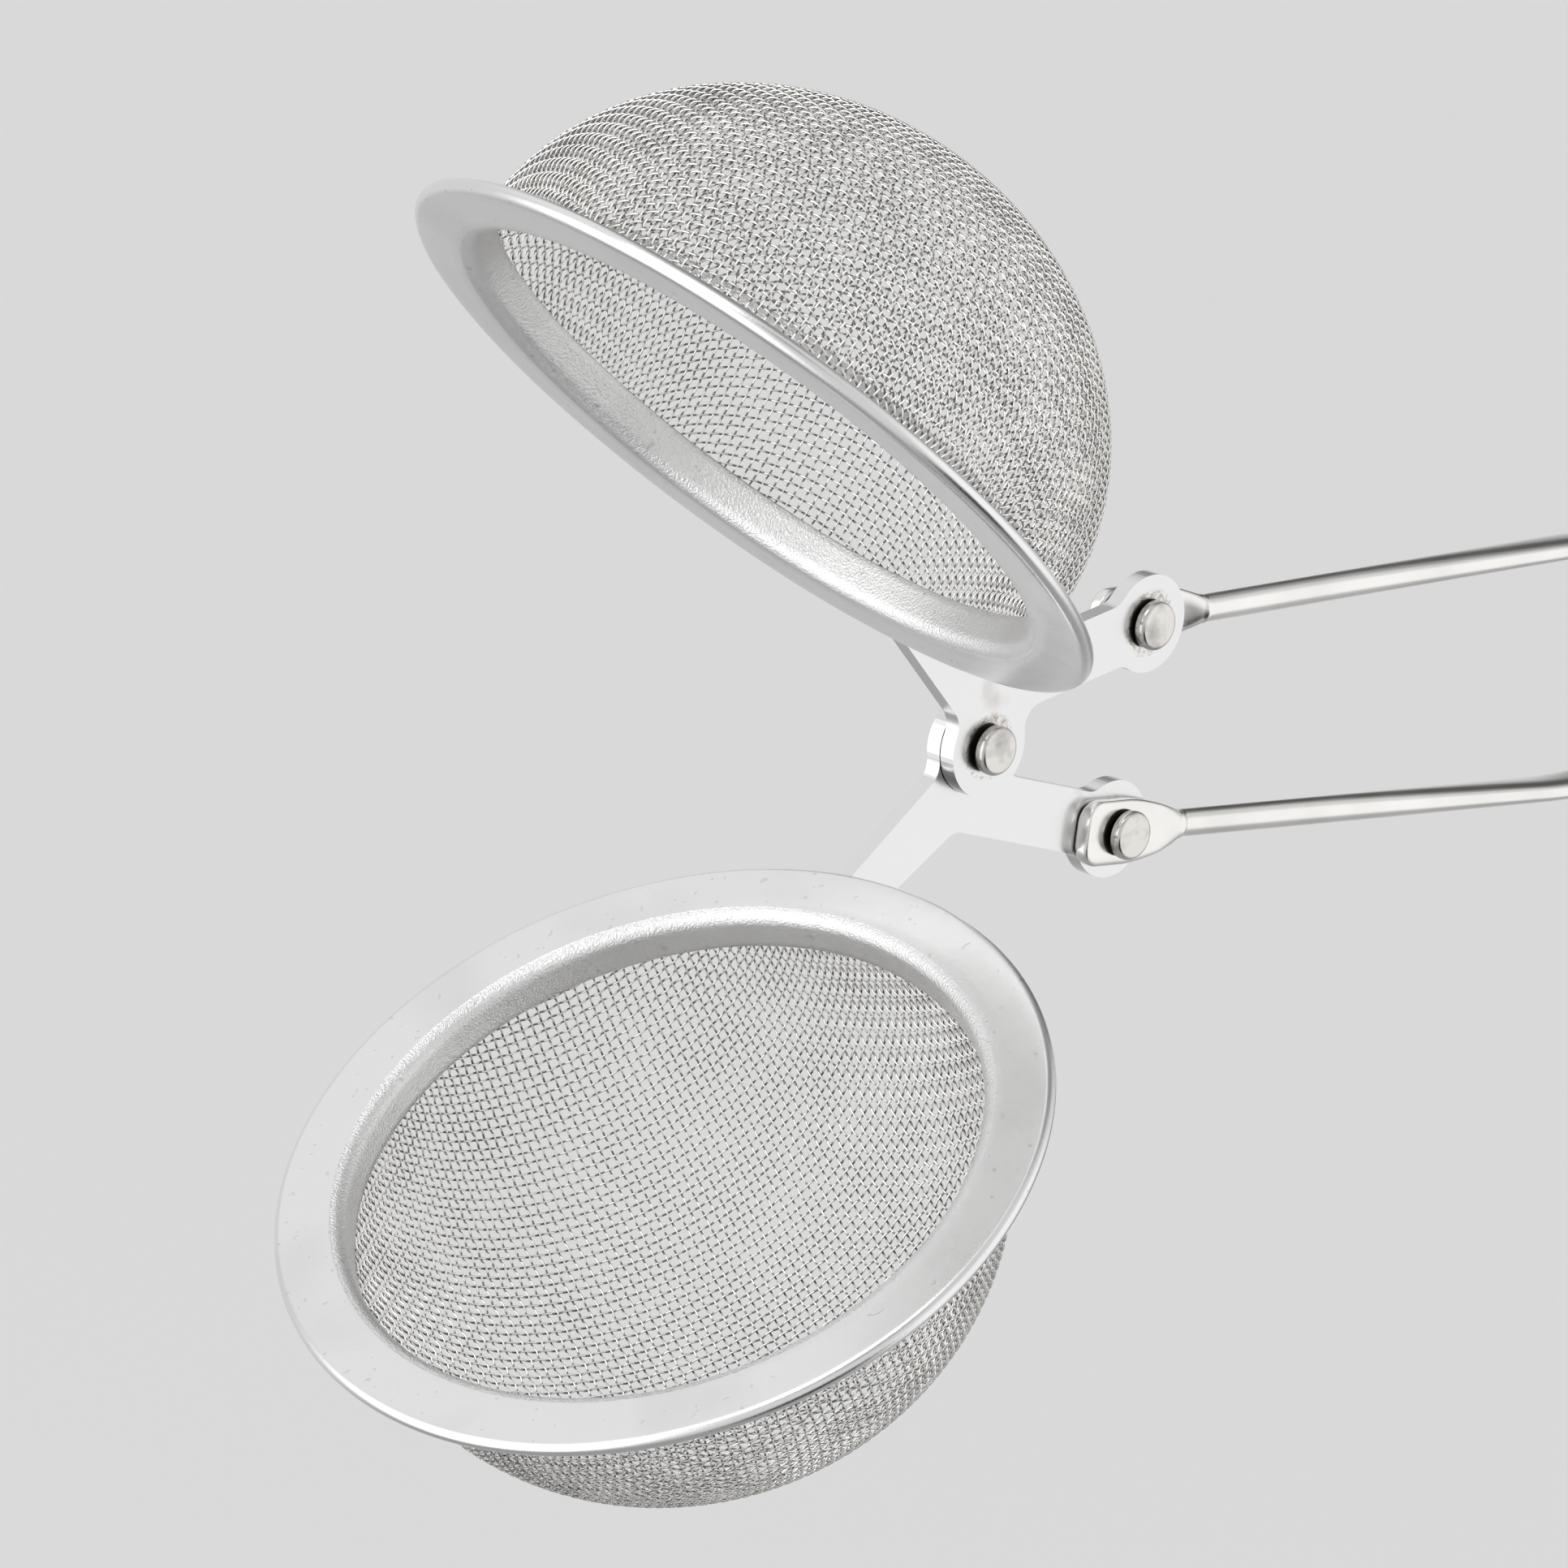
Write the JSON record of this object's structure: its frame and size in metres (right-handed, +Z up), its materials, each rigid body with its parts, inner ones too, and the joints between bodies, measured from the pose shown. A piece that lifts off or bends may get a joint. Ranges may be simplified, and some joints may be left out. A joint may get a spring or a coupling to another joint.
{
  "type": "tea infuser",
  "caption": "Squeeze-handle mesh tea ball with rimmed halves, riveted lever brackets and a springy U-shaped wire handle, held open.",
  "frame": {"origin": "grip point on the underside of the lower handle arm, where a hand squeezes the handle", "axes": "+X along the handle away from the ball, +Z up, Y along the rivets; the ball's open mouth faces -X"},
  "size_m": [0.1759, 0.06, 0.1061],
  "materials": {
    "steel_mesh": "woven stainless wire, bright",
    "satin_rim": "satin stainless sheet with a frosted bend",
    "bracket_plate": "bright stamped stainless plate",
    "rivet_steel": "polished stainless rivet",
    "handle_wire": "drawn stainless spring wire, polished"
  },
  "bodies": {
    "handle_lower": {"handle_lower_arm": "handle_wire", "handle_bend": "handle_wire", "lower_arm_rivet": "rivet_steel"},
    "handle_upper": {"handle_upper_arm": "handle_wire"},
    "lower_strainer": {"lower_mesh": "steel_mesh", "lower_rim": "satin_rim", "lower_bracket": "bracket_plate", "pivot_rivet": "rivet_steel"},
    "upper_strainer": {"upper_mesh": "steel_mesh", "upper_rim": "satin_rim", "upper_bracket": "bracket_plate", "upper_arm_rivet": "rivet_steel"}
  },
  "joints": [
    {"name": "ball_hinge", "type": "hinge", "parent": "lower_strainer", "child": "upper_strainer", "pos_m": [-0.07, 0, 0.01097], "axis": [0, -1, 0], "range_deg": [-6, 73.2]},
    {"name": "lower_arm_pivot", "type": "hinge", "parent": "handle_lower", "child": "lower_strainer", "pos_m": [-0.0535, 0, 0.0026], "axis": [0, 1, 0], "range_deg": [-3.5, 42.1]},
    {"name": "handle_bend", "type": "hinge", "parent": "handle_lower", "child": "handle_upper", "pos_m": [0.038, 0, 0.01097], "axis": [0, 1, 0], "range_deg": [-1, 11], "deforming": ["handle_bend"]}
  ],
  "couplings": [
    {"joint": "lower_arm_pivot", "follows": "ball_hinge", "ratio": 0.574},
    {"joint": "handle_bend", "follows": "ball_hinge", "ratio": 0.1484}
  ]
}
